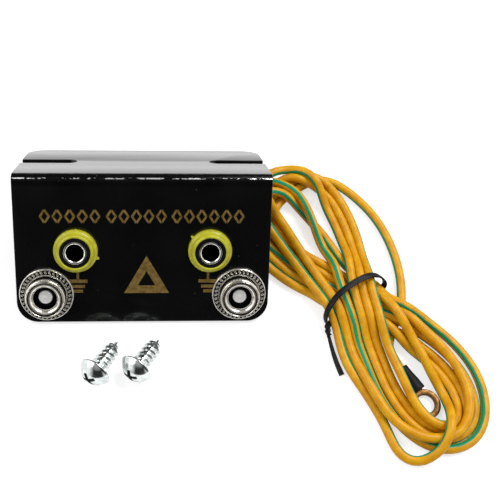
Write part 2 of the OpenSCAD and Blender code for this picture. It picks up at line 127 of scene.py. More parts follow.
def to_hank(q):
    x, y, z = (np.asarray(q, float) - (HANK_X, HANK_Y, 0)).T
    return np.stack([x * HANK_COS + y * HANK_SIN, -x * HANK_SIN + y * HANK_COS, z], -1)


# One row per loop: w of the outward run at the tie, then of the far fold its
# left side, reach, right side, lean and levels, then w and level of the run
# back at the tie, then the near fold in the same way. Its right side is where
# the next outward run starts.
LOOPS = [
    (-4.9, -9.5, 39.5, 11.9, 0.0, (2.2, 2.2, 2.0), 1.8, 1, -9.2, 36.2, 10.3, 1.0, (1, 2, 2)),
    (2.4, -3.9, 38.8, 10.2, 0.0, (1, 1, 1), -4.8, 1, -14.3, 38.3, 8.0, 4.0, (1, 3.2, 3.0)),
    (0.0, -6.1, 40.2, 12.8, 0.0, (1, 1, 1), -0.4, 1, -11.0, 35.0, 12.5, 1.0, (1, 1, 1)),
    (4.6, -2.4, 37.9, 8.2, 0.0, (1, 1.4, 1.2), -2.6, 1, -12.8, 38.6, 2.6, 0.0, (1, 2.2, 3.0)),
    (-2.5, -8.1, 42.5, 16.0, 0.0, (1, 1, 1.5), 5.2, 1, 2.0, 34.4, -8.6, -1.0, (2.2, 2, 2)),
    (-7.1, -10.6, 41.2, 6.0, -4.6, (1, 3.2, 3.6), 6.4, 2, -6.6, 34.0, 15.9, 0.0, (0, 0, 0)),
]
RUN_L, START_W, TOP_LEVEL, LEVEL_H = 25.0, -5.3, 2.0, 2.5
# The last run misses the tie and dives under the others to the terminal.
STRAY = [(-25, 15.9), (-21.3, 17.3), (-15.9, 18.0), (-9.9, 17.5), (-4.5, 16.2), (0.5, 14.2), (4.1, 12.2),
         (7.4, 9.8), (9.4, 6.8), (11.2, 3.4), (13.2, 1.4), (15.6, 0.1), (18.4, -0.3), (20.8, 0.0), (23.2, 0.2)]
# Where the lead leaves the lug and comes down at the bracket's side.
LEAD_DOWN = [(15.75, 5.66, 12.83), (15.75, 8.9, 15.7), (17.2, 11.3, 17.4), (20.5, 12.6, 17.0), (24.4, 13.4, 15.4),
             (30.9, 14.2, 12.6), (33.0, 13.3, 10.2), (33.5, 12.3, 8.2), (33.9, 11.4, 6.3), (34.9, 10.4, 4.8)]
print("loops", len(LOOPS), "and", len(STRAY), "points to the terminal")

# %% [markdown]
# Each loop is two runs to and from a fold at the far end, and two at the near
# end. A run leaves the tie quickly and then straightens, as wire that springs
# out of a tie does, so its sideways course is a quarter of a sine. A fold is
# half an ellipse. Curves drawn by hand would do as well, but a table of loops
# is easier to change.

# %% Hank: the drawn route
def ease(a):
    return (1 - math.cos(math.pi * min(1.0, max(0.0, a)))) / 2


def swell(a):
    return math.sin(math.pi / 2 * min(1.0, max(0.0, a)))


def run(along, length, w_tie, w_end, level_tie, level_end, start, span):
    """A run between the tie and a fold, as (u, w, level); it changes level within a part of its length."""
    return [(u, w_tie + (w_end - w_tie) * swell(abs(u) / length),
             level_tie + (level_end - level_tie) * ease((abs(u) / length - start) / span)) for u in along]


def fold_depth(left, right, reach):
    half = abs(right - left) / 2
    return min(reach - RUN_L, (1.3 if half > 6 else 1.0) * half)


def fold(u0, depth, side, left, right, lean, levels):
    """Half an ellipse from (u0, left) to (u0, right), as points with levels."""
    points = []
    for turn in range(3, 180, 6):
        a = math.radians(turn)
        first = turn < 90
        part = ease(turn / 50) if first else ease((turn - 130) / 50)
        low, high = levels[:2] if first else levels[1:]
        across = (left + right) / 2 - (right - left) / 2 * math.cos(a) + lean * math.sin(a)
        points.append((side * (u0 + depth * math.sin(a)), across, low + (high - low) * part))
    return points


def drawn_route(step=1.5):
    """Points of the hank as (u, w, level), and one mark at each quarter of a loop."""
    points, marks = [], []
    near_w, near_level, near_u = START_W, TOP_LEVEL, RUN_L
    for tie_w, f_left, f_reach, f_right, f_lean, f_lv, back_w, back_lv, n_left, n_reach, n_right, n_lean, n_lv in LOOPS:
        first_u = -near_u + (1 if points else 3)
        points += run(np.arange(first_u, 0, step), near_u, tie_w, near_w, TOP_LEVEL, near_level, 0.2, 0.5)
        marks.append(len(points))
        depth = fold_depth(f_left, f_right, f_reach)
        far_u = f_reach - depth
        points += run(np.arange(0, far_u, step), far_u, tie_w, f_left, TOP_LEVEL, f_lv[0], 0.12, 0.45)
        points += fold(far_u, depth, 1, f_left, f_right, f_lean, f_lv)
        marks.append(len(points) - 15)
        points += run(np.arange(far_u - 0.5, 0, -step), far_u, back_w, f_right, back_lv, f_lv[2], 0.2, 0.6)
        marks.append(len(points))
        depth = fold_depth(n_left, n_right, n_reach)
        near_u = n_reach - depth
        points += run(np.arange(0, -near_u, -step), near_u, back_w, n_left, back_lv, n_lv[0], 0.05, 0.35)
        points += fold(near_u, depth, -1, n_left, n_right, n_lean, n_lv)
        marks.append(len(points) - 15)
        near_w, near_level = n_right, n_lv[2]
    points += [(u, w, 0) for u, w in STRAY]
    marks.append(len(points) - len(STRAY) + 4)
    return np.array(points, float), marks


def length_along(points):
    return np.r_[0, np.cumsum(np.linalg.norm(np.diff(points[:, :3], axis=0), axis=1))]


def spaced(points, step):
    """The same line with its points a fixed step apart."""
    along = length_along(points)
    at = np.linspace(0, along[-1], int(round(along[-1] / step)) + 1)
    return np.stack([np.interp(at, along, column) for column in points.T], 1)


def smoothed(points, times):
    for _ in range(times):
        inner = points[:-2] / 4 + points[1:-1] / 2 + points[2:] / 4
        points = np.concatenate([points[:1], inner, points[-1:]])
    return points


drawn, marks = drawn_route()
heights = LEAD_R + LEVEL_H * drawn[:, 2]
lead_down = to_hank(LEAD_DOWN)
# The fourth column counts quarters of a loop along the lead, for its stripe.
quarters = np.interp(np.arange(len(drawn)), marks, np.arange(1, len(marks) + 1))
target = np.concatenate([np.c_[lead_down, np.zeros(len(lead_down))], np.c_[drawn[:, :2], heights, quarters]])
target = smoothed(spaced(target, 1.5), 4)
# The landing is bent more gently than the rest.
target[:40] = smoothed(target[:40], 14)
print("drawn route", len(target), "points")

# %% [markdown]
# A drawn line is not yet a heap of wire. The settling step lets the line sink,
# keeps it smooth, and pushes runs apart where they touch, until each one
# rests on the table, on the terminal's sleeve or on another run. The tie holds
# the middle together. A simulation could do this too, but this rule has
# nothing random in it, so it gives the same heap each time.

# %% Hank: settle the line
TIE_HALF_W, TIE_TOP, TIE_REACH = 8.3, 5.9, 9
SLEEVE_FROM, SLEEVE_TO, SLEEVE_W, SLEEVE_Z, OVER_SLEEVE = 20.5, 27.5, 0.5, 1.8, 8.0


def springs(p):
    """How far each point is from an even bend between its neighbours."""
    bend, spring = np.zeros_like(p), np.zeros_like(p)
    bend[1:-1] = p[:-2] + p[2:] - 2 * p[1:-1]
    spring[1:-1] = bend[:-2] + bend[2:] - 2 * bend[1:-1]
    return spring


def pushed_apart(p, i, j):
    """Moves every two points that are nearer than the wire is thick half their overlap apart."""
    apart = p[i] - p[j]
    gap = np.maximum(np.linalg.norm(apart, axis=1), 1e-6)
    hit = gap < LEAD_D
    push = ((LEAD_D - gap[hit]) / gap[hit] / 2)[:, None] * apart[hit]
    total, count = np.zeros_like(p), np.zeros(len(p))
    for index, sign in ((i[hit], 1), (j[hit], -1)):
        np.add.at(total, index, sign * push)
        np.add.at(count, index, 1)
    return p + 1.4 * total / np.maximum(count, 1)[:, None]


def settled(route, held, rounds=400, hold=0.10):
    p, aim, n = route.copy(), route.copy(), len(route)
    gathered = abs(aim[:, 1]) < 9.6
    for k in range(rounds):
        loose = k < rounds - 60
        if k % 12 == 0:
            i, j = np.nonzero(np.linalg.norm(p[:, None] - p[None], axis=-1) < LEAD_D + 1.2)
            i, j = i[j - i > 4], j[j - i > 4]
        if loose:
            p[:, 2] -= 0.08 * (1 - k / rounds) + 0.01
            p[:, :2] += hold * (aim[:, :2] - p[:, :2])
        for _ in range(3 if loose else 1):
            p[2:-2] -= (0.07 if loose else 0.03) * springs(p)[2:-2]
        for _ in range(3):
            p = pushed_apart(p, i, j)
            tied = gathered & (abs(p[:, 0]) < TIE_REACH)
            room = 0.045 * np.maximum(abs(p[tied, 0]) - 1, 0) ** 2
            limit = TIE_HALF_W - LEAD_R + room
            p[tied, 1] = np.clip(p[tied, 1], -limit, limit)
            p[tied, 2] = np.minimum(p[tied, 2], TIE_TOP - LEAD_R + room)
            # The band runs under the bundle, which lies a little higher there.
            lift = np.where(gathered, 0.6 * np.exp(-(((p[:, 0] - 1.2) / 4) ** 2)), 0)
            p[:, 2] = np.maximum(p[:, 2], LEAD_R + lift)
            # A run that crosses the sleeve lies on it.
            beside = (p[:, 1] - SLEEVE_W) ** 2
            over = (p[:, 0] > SLEEVE_FROM) & (p[:, 0] < SLEEVE_TO) & (beside < OVER_SLEEVE) & (np.arange(n) < n - 12)
            p[over, 2] = np.maximum(p[over, 2], SLEEVE_Z + np.sqrt(OVER_SLEEVE - beside[over]))
        p[held] = aim[held]
    return p


held = np.r_[np.arange(int(length_along(lead_down)[-1] / 1.5) - 6), np.arange(len(target) - 3, len(target))]
target[-3:, 2] = SLEEVE_Z
lead_line = settled(target[:, :3], held)

# %% [markdown]
# The wire is a tube swept along that line, sixteen sided. Each ring knows how
# far round it a point is and how far along, and keeps both as a UV map, so
# that the green stripe can follow the wire as it slowly turns. A bevelled
# curve would give the tube too, but no say in how it turns.

# %% Hank: the tube
SIDES = 16
# Where the stripe looks out at each quarter of a loop: 0 is up, and a positive
# angle is on the right-hand side of the way the wire runs.
STRIPE = [170, 170, 110, 75, 120, 170, 165, 60, 70, 80, 80, 20, -110, -48, -65, -120, 8, 25, -35, -55,
          -30, -40, -60, -165, -210, -285]


def unit(vectors):
    return vectors / np.maximum(np.linalg.norm(vectors, axis=1), 1e-9)[:, None]


def swept(name, rings):
    """A closed skin over rings of points, in metres."""
    n, sides = rings.shape[:2]
    quads = [(k * sides + s, (k + 1) * sides + s, (k + 1) * sides + (s + 1) % sides, k * sides + (s + 1) % sides)
             for k in range(n - 1) for s in range(sides)]
    caps = [tuple(range(sides)), tuple(range(n * sides - 1, (n - 1) * sides - 1, -1))]
    mesh = bpy.data.meshes.new(name)
    mesh.from_pydata(rings.reshape(-1, 3).tolist(), [], quads + caps)
    piece = bpy.data.objects.new(name, mesh)
    scene.collection.objects.link(piece)
    return piece


def tube(name, line, radius, sides, turn):
    """Closed tube round a line of points in metres, with UVs: round it, and along it in metres."""
    way = unit(np.gradient(line, axis=0))
    up = unit(np.array([0, 0, 1.0]) - way[:, 2:3] * way)
    side = np.cross(way, up)
    angle = np.linspace(0, 2 * math.pi, sides, endpoint=False)[None] + np.radians(turn)[:, None]
    round_it = np.cos(angle)[..., None] * up[:, None] + np.sin(angle)[..., None] * side[:, None]
    piece = swept(name, line[:, None] + radius * round_it)
    along = length_along(line)
    coords = [(s / sides, along[k]) for k0 in range(len(line) - 1) for s0 in range(sides)
              for s, k in ((s0, k0), (s0, k0 + 1), (s0 + 1, k0 + 1), (s0 + 1, k0))]
    coords += [(s / sides, end) for end in (0, along[-1]) for s in range(sides)]
    piece.data.uv_layers.new(name="UVMap").data.foreach_set("uv", np.array(coords, np.float32).ravel())
    piece.data.shade_smooth()
    return piece


turn = np.interp(target[:, 3], np.arange(len(STRIPE)), STRIPE)
lead_path = from_hank(smoothed(lead_line, 1)) * MM
lead = tube("lead_wire", lead_path, LEAD_R * MM, SIDES, smoothed(turn[:, None], 12)[:, 0])
print("lead wire:", len(lead.data.polygons), "faces")

# %% [markdown]
# All finishes are made of nodes, so a few small helpers add a node, fill its
# sockets and link it in one line: noise, colour ramps, sums and bumps. The
# graph that they make can be opened in the Shader Editor and looked at.

# %% Nodes helpers
def fill(node, inputs=(), **named):
    """Sets a node's sockets: a socket is linked, and anything else is set as its value."""
    for key, value in {**dict(inputs), **{key.replace("_", " "): value for key, value in named.items()}}.items():
        if isinstance(value, bpy.types.NodeSocket):
            node.id_data.links.new(value, node.inputs[key])
        else:
            node.inputs[key].default_value = value


class Nodes:
    """Adds nodes to a tree. Each function gives back the new node's output."""

    def __init__(self, tree):
        self.tree = tree

    def add(self, kind, inputs=(), out=0, **settings):
        new = self.tree.nodes.new("ShaderNode" + kind)
        for key, value in settings.items():
            setattr(new, key, value)
        fill(new, inputs)
        return new.outputs[out]

    def place(self):
        return self.add("TexCoord", out="Object")

    def calc(self, operation, *values):
        return self.add("Math", dict(enumerate(values)), operation=operation)

    def noise(self, place, scale, detail, roughness=0.5):
        return self.add("TexNoise", {"Vector": place, "Scale": scale, "Detail": detail, "Roughness": roughness})

    def stretched(self, place, *scale):
        return self.add("Mapping", {"Vector": place, "Scale": scale})

    def fit(self, value, low=0.0, high=1.0, to_low=0.0, to_high=1.0):
        """Carries a value from one range to another, held within it."""
        return self.add("MapRange", {"Value": value, "From Min": low, "From Max": high,
                                     "To Min": to_low, "To Max": to_high})

    def tone(self, value, *stops):
        """A ramp of two colours, as (place, colour)."""
        colour = self.add("ValToRGB", {"Fac": value})
        for element, (place, rgb) in zip(colour.node.color_ramp.elements, stops):
            element.position, element.color = place, (*rgb, 1)
        return colour

    def mix(self, factor, a, b):
        return self.add("Mix", {0: factor, 6: a, 7: (*b, 1)}, out=2, data_type="RGBA")

    def bump(self, height, strength, distance):
        return self.add("Bump", {"Height": height, "Strength": strength, "Distance": distance})


def finish(name, colour=(0.5, 0.5, 0.5), **sockets):
    """A new material: it, its Principled shader, and the nodes that can be added."""
    material = bpy.data.materials.new(name)
    material.use_nodes = True
    material.diffuse_color = (*colour, 1)
    skin = material.node_tree.nodes["Principled BSDF"]
    fill(skin, Base_Color=(*colour, 1), **sockets)
    return material, skin, Nodes(material.node_tree)


print("node helpers ready")

# %% [markdown]
# The finish of the lead is soft PVC: golden yellow, with a narrow green stripe
# that the wire's own UV map carries along. A slow noise wears the stripe's
# edges, a little light goes through the skin, and a fine bump keeps it from
# looking like glass.

# %% The lead's finish
def lead_finish():
    material, skin, nodes = finish(
        "lead_insulation_finish", Roughness=0.36, Specular_IOR_Level=0.23, Subsurface_Weight=0.12,
        Subsurface_Radius=(1.0, 0.5, 0.1), Subsurface_Scale=0.0006)
    place = nodes.place()
    slow = nodes.noise(place, 420.0, 2.0)
    around = nodes.add("SeparateXYZ", {"Vector": nodes.add("UVMap", uv_map="UVMap")}, out="X")
    around = nodes.calc("ADD", nodes.calc("ADD", around, nodes.calc("MULTIPLY", slow, 0.05)), 0.475)
    away = nodes.calc("ABSOLUTE", nodes.calc("SUBTRACT", nodes.calc("FRACT", around), 0.5))
    yellow_tone = nodes.tone(slow, (0.3, (0.55, 0.235, 0.002)), (0.7, (0.67, 0.345, 0.003)))
    stripe = nodes.fit(away, 0.072, 0.060)
    fill(skin, Base_Color=nodes.mix(stripe, yellow_tone, (0.009, 0.255, 0.115)),
         Normal=nodes.bump(nodes.noise(place, 2600.0, 3.0), 0.15, 0.00008))
    return material


lead_skin = lead_finish()
lead.data.materials.append(lead_skin)
print("lead finish:", len(lead_skin.node_tree.nodes), "nodes")

# %% [markdown]
# The floor is a plain white sweep. To the camera it is a little brighter than
# its light alone makes it, which gives the white ground of a product picture,
# and to polished metal somewhat less, so that plating keeps its dark parts. It
# is still lit as well, so it keeps the soft shadows.

# %% Floor
def deselect():
    if bpy.context.object and bpy.context.object.mode != "OBJECT":
        bpy.ops.object.mode_set(mode="OBJECT")
    bpy.ops.object.select_all(action="DESELECT")


def white_ground():
    material, skin, nodes = finish(
        "white_ground", (0.56, 0.56, 0.56), Roughness=0.9, Specular_IOR_Level=0.0, Emission_Color=(1, 1, 1, 1))
    rays = nodes.add("LightPath", out="Is Camera Ray")
    seen = nodes.calc("MAXIMUM", rays, rays.node.outputs["Is Transmission Ray"])
    mirrored = nodes.calc("MULTIPLY", rays.node.outputs["Is Glossy Ray"], 0.38)
    fill(skin, Emission_Strength=nodes.calc("MULTIPLY_ADD", seen, 0.62, mirrored))
    return material


deselect()
bpy.ops.mesh.primitive_grid_add(x_subdivisions=8, y_subdivisions=8, size=6, location=(0, 0, 0))
floor = bpy.context.object
floor.name = "floor"
floor.data.materials.append(white_ground())
print("floor", round(floor.dimensions.x, 1), "m wide")

# %% [markdown]
# One large soft lamp stands high at the back and to the right, as a window
# would, and a weaker one fills from the left. The world adds an even light
# from all round. For the camera the world is white. In gloss it is a dark room
# with a dim panel overhead and a bright one at each side, because black paint
# and polished plating show what is round them more than what lights them.

# %% Lamps and world
def soft_lamp(name, place, size, power, target=(0.02, 0, 0)):
    data = bpy.data.lights.new(name, "AREA")
    data.shape = "RECTANGLE"
    data.size, data.size_y = size
    data.energy = power
    lamp = bpy.data.objects.new(name, data)
    scene.collection.objects.link(lamp)
    lamp.location = place
    lamp.rotation_euler = (Vector(target) - Vector(place)).to_track_quat("-Z", "Y").to_euler()
    return lamp


def room_light(even=0.57):
    world = bpy.data.worlds.new("room")
    scene.world = world
    world.use_nodes = True
    nodes = Nodes(world.node_tree)
    height = nodes.add("SeparateXYZ", {0: nodes.add("TexCoord", out="Generated")}, out="Z")
    overhead = nodes.fit(height, 0.72, 0.98, 0.02, 0.45)
    panels = nodes.fit(nodes.calc("ABSOLUTE", height.node.outputs["X"]), 0.42, 0.76)
    rays = nodes.add("LightPath", out="Is Glossy Ray")
    lit = nodes.add("Mix", {0: rays, 2: even, 3: nodes.calc("MAXIMUM", overhead, panels)})
    seen = nodes.calc("MAXIMUM", rays.node.outputs["Is Camera Ray"], rays.node.outputs["Is Transmission Ray"])
    fill(world.node_tree.nodes["Background"], Strength=nodes.calc("MAXIMUM", lit, seen), Color=(1, 1, 1, 1))


key_lamp = soft_lamp("key_lamp", (0.45, 0.35, 0.75), (0.5, 0.4), 6.7)
fill_lamp = soft_lamp("fill_lamp", (-0.55, 0.10, 0.55), (0.5, 0.5), 2.4)
room_light()
scene.view_settings.view_transform = "Standard"
print("lamps", key_lamp.data.energy, fill_lamp.data.energy, "W")

# %% [markdown]
# The small round pieces are all turned on a lathe or drawn in a die. In
# Blender such a piece can be spun from a profile; here a circle is drawn up
# ring by ring with extrude and resize, because each ring then carries the
# radius and height that a drawing would give. A solid piece starts from a
# filled circle, and a hollow one from an open circle and comes back to it.

# %% Turning and placing helpers
def alone(piece):
    """Selects one piece and makes it active."""
    deselect()
    piece.select_set(True)
    bpy.context.view_layer.objects.active = piece


def edit_all(kind="FACE"):
    """Enters Edit Mode with everything selected."""
    bpy.ops.object.mode_set(mode="EDIT")
    bpy.ops.mesh.select_mode(type=kind)
    bpy.ops.mesh.select_all(action="SELECT")


def faces_out():
    """Turns every face outwards, and leaves Edit Mode."""
    bpy.ops.mesh.select_all(action="SELECT")
    bpy.ops.mesh.normals_make_consistent(inside=False)
    bpy.ops.object.mode_set(mode="OBJECT")


def turned(name, rings, hollow=False, sides=96):
    """A turned piece in millimetres, through rings of (radius, height)."""
    deselect()
    r, z = rings[0]
    bpy.ops.mesh.primitive_circle_add(vertices=sides, radius=r, location=(0, 0, z),
                                      fill_type="NOTHING" if hollow else "NGON")
    piece = bpy.context.object
    piece.name = piece.data.name = name
    bpy.ops.object.transform_apply(location=True, rotation=False, scale=False)
    edit_all("EDGE" if hollow else "FACE")
    for (r0, z0), (r1, z1) in zip(rings, rings[1:]):
        bpy.ops.mesh.extrude_region_move(TRANSFORM_OT_translate={"value": (0, 0, z1 - z0)})
        bpy.ops.transform.resize(value=(r1 / r0, r1 / r0, 1))
    bpy.ops.mesh.select_all(action="SELECT")
    bpy.ops.mesh.remove_doubles(threshold=0.0005)
    faces_out()
    return piece


def arc(r_from, z_from, r_to, z_to, count):
    """Rings along a quarter of an ellipse between two points, rounded outwards."""
    angles = [math.pi / 2 * k / count for k in range(1, count + 1)]
    return [(r_from + (r_to - r_from) * math.sin(a), z_from + (z_to - z_from) * (1 - math.cos(a))) for a in angles]


def bar(size, place):
    """A cube of a given size at a place."""
    deselect()
    bpy.ops.mesh.primitive_cube_add(size=1, location=place, scale=size)
    bpy.ops.object.transform_apply(location=True, rotation=False, scale=True)
    return bpy.context.object


def smooth(piece, angle=35):
    alone(piece)
    bpy.ops.object.shade_smooth_by_angle(angle=math.radians(angle))


def bevelled(piece, width, segments, **settings):
    """Rounds the active piece's edges with a Bevel modifier, and applies it."""
    bevel = piece.modifiers.new("rounding", "BEVEL")
    bevel.width, bevel.segments = width, segments
    for key, value in settings.items():
        setattr(bevel, key, value)
    bpy.ops.object.modifier_apply(modifier="rounding")


def joined(main, others):
    alone(main)
    for piece in others:
        piece.select_set(True)
    bpy.ops.object.join()


def twin(piece, name):
    """A copy with its own mesh."""
    new = piece.copy()
    new.data = piece.data.copy()
    new.name = new.data.name = name
    scene.collection.objects.link(new)
    return new


def put(piece, place, material, slot, *nodes, body="bracket"):
    """Moves a millimetre model to its place, gives it its finish, and lets it stand for its nodes."""
    piece.data.transform(place)
    piece.data.materials.clear()
    piece.data.materials.append(material)
    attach(piece, body)
    if nodes:
        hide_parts(*nodes)
    return piece


def put_both(piece, x, v, material, slot, node_name, turned_by=0):
    """Puts a piece at the left of the face and its twin at the right, for a node's left and right."""
    other = twin(piece, node_name + "_right_piece")
    other.data.transform(rotated(turned_by))
    put(piece, on_face(-x, v), material, slot, node_name + "_left")
    put(other, on_face(x, v), material, slot, node_name + "_right")
    print(node_name, len(piece.data.polygons), "faces")


print("turning helpers ready")

# %% [markdown]
# The bracket is steel with a glossy black paint: a dark coat that mirrors its
# surroundings at a shallow angle, with a slight orange peel and some dust. The
# paint wrinkles where the sheet was bent, and along the crest of the bend a
# thin broken line of bright metal is painted in: painted glints, standing for
# the light caught on the wrinkled paint there. Both are placed by the object's
# own coordinates, because they belong to one place on it.

# %% Paint
BEND_Z, BEND_FRONT_Y, CREST_Y = (0.0228, 0.0232), (0.0114, 0.0110), 0.01045


def black_paint():
    material, skin, nodes = finish("bracket_paint", Roughness=0.22, Coat_Roughness=0.06, Coat_IOR=1.5)
    place = nodes.place()
    x_y_z = nodes.add("SeparateXYZ", {"Vector": place}, out="Y")
    cloud = nodes.noise(place, 90.0, 3.0)
    black = nodes.tone(cloud, (0.35, (0.0020, 0.0020, 0.0022)), (0.7, (0.0036, 0.0036, 0.0038)))
    dust = nodes.add("TexVoronoi", {"Vector": place, "Scale": 480.0, "Randomness": 1.0}, out="Distance")
    few = nodes.calc("GREATER_THAN", nodes.add("SeparateColor", {"Color": dust.node.outputs["Color"]}), 0.84)
    dusty = nodes.mix(nodes.calc("MULTIPLY", nodes.fit(dust, 0.085, 0.045), few), black, (0.045, 0.043, 0.038))
    bend = nodes.fit(x_y_z.node.outputs["Z"], *BEND_Z)
    off_crest = nodes.calc("ABSOLUTE", nodes.calc("SUBTRACT", x_y_z, CREST_Y))
    # Painted glints: a thin broken line of bright metal along the crest of the bend stands for the light caught on its
    # wrinkled paint.
    glint_dashes = nodes.fit(nodes.noise(nodes.stretched(place, 420.0, 900.0, 900.0), 1.0, 4.0, 0.65), 0.49, 0.55)
    line = nodes.calc("MULTIPLY", nodes.calc("MULTIPLY", glint_dashes, nodes.fit(off_crest, 0.00018, 0.00009)), bend)
    band = nodes.calc("MULTIPLY", bend, nodes.fit(x_y_z, *BEND_FRONT_Y))
    wrinkle = nodes.calc("MULTIPLY", nodes.noise(nodes.stretched(place, 520.0, 1900.0, 1900.0), 1.0, 3.0), bend)
    peel = nodes.calc("MULTIPLY_ADD", nodes.noise(place, 1500.0, 2.0), 0.25, nodes.noise(place, 260.0, 1.0))
    bump = nodes.bump(nodes.calc("MULTIPLY_ADD", wrinkle, 6.0, peel), 0.10, 0.0001)
    fill(skin, Base_Color=nodes.mix(line, dusty, (0.95, 0.95, 0.95)), Metallic=line, Normal=bump, Coat_Normal=bump,
         Coat_Weight=nodes.fit(band, to_low=0.55, to_high=0.05),
         Specular_IOR_Level=nodes.fit(band, to_low=0.25, to_high=0.05))
    return material


paint = black_paint()
print("paint:", len(paint.node_tree.nodes), "nodes")

# %% [markdown]
# The nickel and zinc plating are metals whose roughness and tint wander a
# little, with fine scratches from handling. Their grooves, bores and recesses
# are painted near black as painted shade. Which faces lie in such a place is
# measured on the mesh and kept there as an attribute, since no texture could
# know it.

# %% Plating and plastic
def painted_shade(piece, test):
    """Marks faces for painted shade, darkening them where shade falls, by a test on radius, height and how far up they
    look.
    """
    marks = piece.data.attributes.get("painted_shade") or piece.data.attributes.new("painted_shade", "FLOAT", "FACE")
    for face in piece.data.polygons:
        marks.data[face.index].value = float(test(face.center.xy.length, face.center.z, face.normal.z))


def plating(name, light, dark, low=0.10, high=0.24, grain=900.0, metal=1.0):
    """Plated metal: tint and roughness from noise, fine scratches one way, and painted shade in the marked grooves and
    recesses.
    """
    material, skin, nodes = finish(name, light, Metallic=metal)
    place = nodes.place()
    cloud = nodes.noise(place, grain, 4.0, 0.6)
    shade_mask = nodes.add("Attribute", out="Fac", attribute_name="painted_shade")
    # The marked faces turn near black: painted shade.
    fill(skin, Base_Color=nodes.mix(shade_mask, nodes.tone(cloud, (0.34, dark), (0.56, light)), (0.006, 0.006, 0.006)),
         Roughness=nodes.calc("MULTIPLY_ADD", shade_mask, 0.3, nodes.fit(cloud, 0.3, 0.7, high, low)),
         Normal=nodes.bump(nodes.noise(nodes.stretched(place, 400.0, 5200.0, 900.0), 1.0, 2.0), 0.12, 0.00003))
    return material


def moulded(name, colour, shade, roughness=0.32, subsurface=0.0, grain=700.0, coat=0.0, specular=0.5):
    """Moulded plastic: faint clouds in its colour, a soft skin, and a fine bump."""
    material, skin, nodes = finish(
        name, colour, Subsurface_Weight=subsurface, Subsurface_Radius=(1.0, 0.8, 0.2), Subsurface_Scale=0.0012,
        Coat_Weight=coat, Coat_Roughness=0.1, Specular_IOR_Level=specular)
    place = nodes.place()
    cloud = nodes.noise(place, grain, 4.0)
    fill(skin, Base_Color=nodes.tone(cloud, (0.3, shade), (0.65, colour)),
         Roughness=nodes.fit(cloud, to_low=roughness + 0.1, to_high=roughness - 0.06),
         Normal=nodes.bump(nodes.noise(place, grain * 6, 2.0), 0.12, 0.00005))
    return material


nickel = plating("snap_nickel", (0.86, 0.83, 0.76), (0.56, 0.52, 0.45), metal=0.87)
# The rivet is near white and hardly metal: a painted highlight, standing in for the bright reflection of its plated
# dome.
rivet_painted_highlight = plating("rivet_painted_highlight", (0.97, 0.96, 0.94), (0.90, 0.89, 0.87), 0.22, 0.36, metal=0.1)
socket_plate = plating("socket_nickel", (0.88, 0.86, 0.80), (0.64, 0.62, 0.56), 0.08, 0.2)
zinc = plating("screw_zinc", (0.84, 0.88, 0.87), (0.62, 0.66, 0.66), 0.10, 0.22)
brass = plating("strip_brass", (0.80, 0.58, 0.27), (0.50, 0.33, 0.12), 0.18, 0.36)
terminal_brass = plating("terminal_brass", (0.16, 0.082, 0.026), (0.085, 0.040, 0.012), 0.30, 0.48, 1400.0)
yellow = moulded("bush_plastic", (0.47, 0.455, 0.014), (0.35, 0.335, 0.008), 0.34, subsurface=0.15, coat=0.08)
ring_black = moulded("ring_plastic", (0.008, 0.0075, 0.008), (0.004, 0.004, 0.004), 0.22, specular=0.25)
tie_black = moulded("tie_plastic", (0.006, 0.006, 0.0072), (0.003, 0.003, 0.004), 0.46, grain=1100, specular=0.18)
sleeve_skin = moulded("sleeve_skin", (0.004, 0.004, 0.005), (0.002, 0.002, 0.003), 0.48, grain=1500, specular=0.15)
print("finishes:", len(bpy.data.materials))

# %% [markdown]
# A banana jack is a yellow bush with a collar through the face, a black ring
# let into it, and a plated socket with a 4 mm bore and a threaded barrel. The
# bush is domed, its lip is a thin rounded edge, and it keeps two small nibs of
# flash from its mould.

# %% Jack bush
def nib(piece, angle, length, spread):
    """Draws the rim's faces at one angle out to a small point of flash."""
    alone(piece)
    mesh = piece.data
    out = rotated(angle) @ Vector((1, 0, 0))
    nearly = math.cos(math.radians(spread))
    for parts in (mesh.vertices, mesh.edges):
        parts.foreach_set("select", [False] * len(parts))
    for face in mesh.polygons:
        flat = Vector((*face.center.xy, 0))
        face.select = flat.length > 5.05 and 0.1 < face.center.z < 0.9 and flat.normalized().dot(out) > nearly
        for v in face.vertices if face.select else ():
            mesh.vertices[v].select = True
    bpy.ops.object.mode_set(mode="EDIT")
    bpy.ops.mesh.select_mode(type="FACE")
    for part, shrink in ((0.6, (0.7, 0.7, 0.8)), (0.4, (0.3, 0.3, 0.4))):
        bpy.ops.mesh.extrude_region_move(TRANSFORM_OT_translate={"value": tuple(out * length * part)})
        bpy.ops.transform.resize(value=shrink)
    bpy.ops.object.mode_set(mode="OBJECT")


bush = turned("jack_bush_left_piece", [
    (2.52, -1.2), (3.95, -1.2), (3.98, 0), (5.04, 0), (5.15, 0.1), (5.15, 0.45), (5.15, 0.82)]
    + arc(5.15, 0.82, 4.25, 2.40, 9) + [
    (4.08, 2.54), (3.92, 2.6), (3.78, 2.58), (3.68, 2.5), (3.65, 2.36), (3.65, 1.62), (2.52, 1.62), (2.52, -1.2)],
    hollow=True)
nib(bush, -20, 0.75, 4.0)
nib(bush, 88, 0.25, 3.0)
smooth(bush)
put_both(bush, JACK_X, JACK_V, yellow, "bush_yellow", "jack_bush", turned_by=160)

# %% [markdown]
# The ring and the socket are turned in the same way. The socket's thread shows
# only behind the face, so its crests are plain rings. Its bore is closed at
# the bottom, and its inside is painted near black: painted shade, as dark as a
# deep bore looks.

# %% Jack ring and socket
ring = turned("jack_ring_left_piece", [
    (2.73, 1.64), (3.63, 1.64), (3.63, 2.24), (3.56, 2.36), (3.4, 2.42), (3.0, 2.40), (2.8, 2.36), (2.73, 2.28),
    (2.73, 1.64)], hollow=True)
smooth(ring)
put_both(ring, JACK_X, JACK_V, ring_black, "insulator_black", "jack_ring")

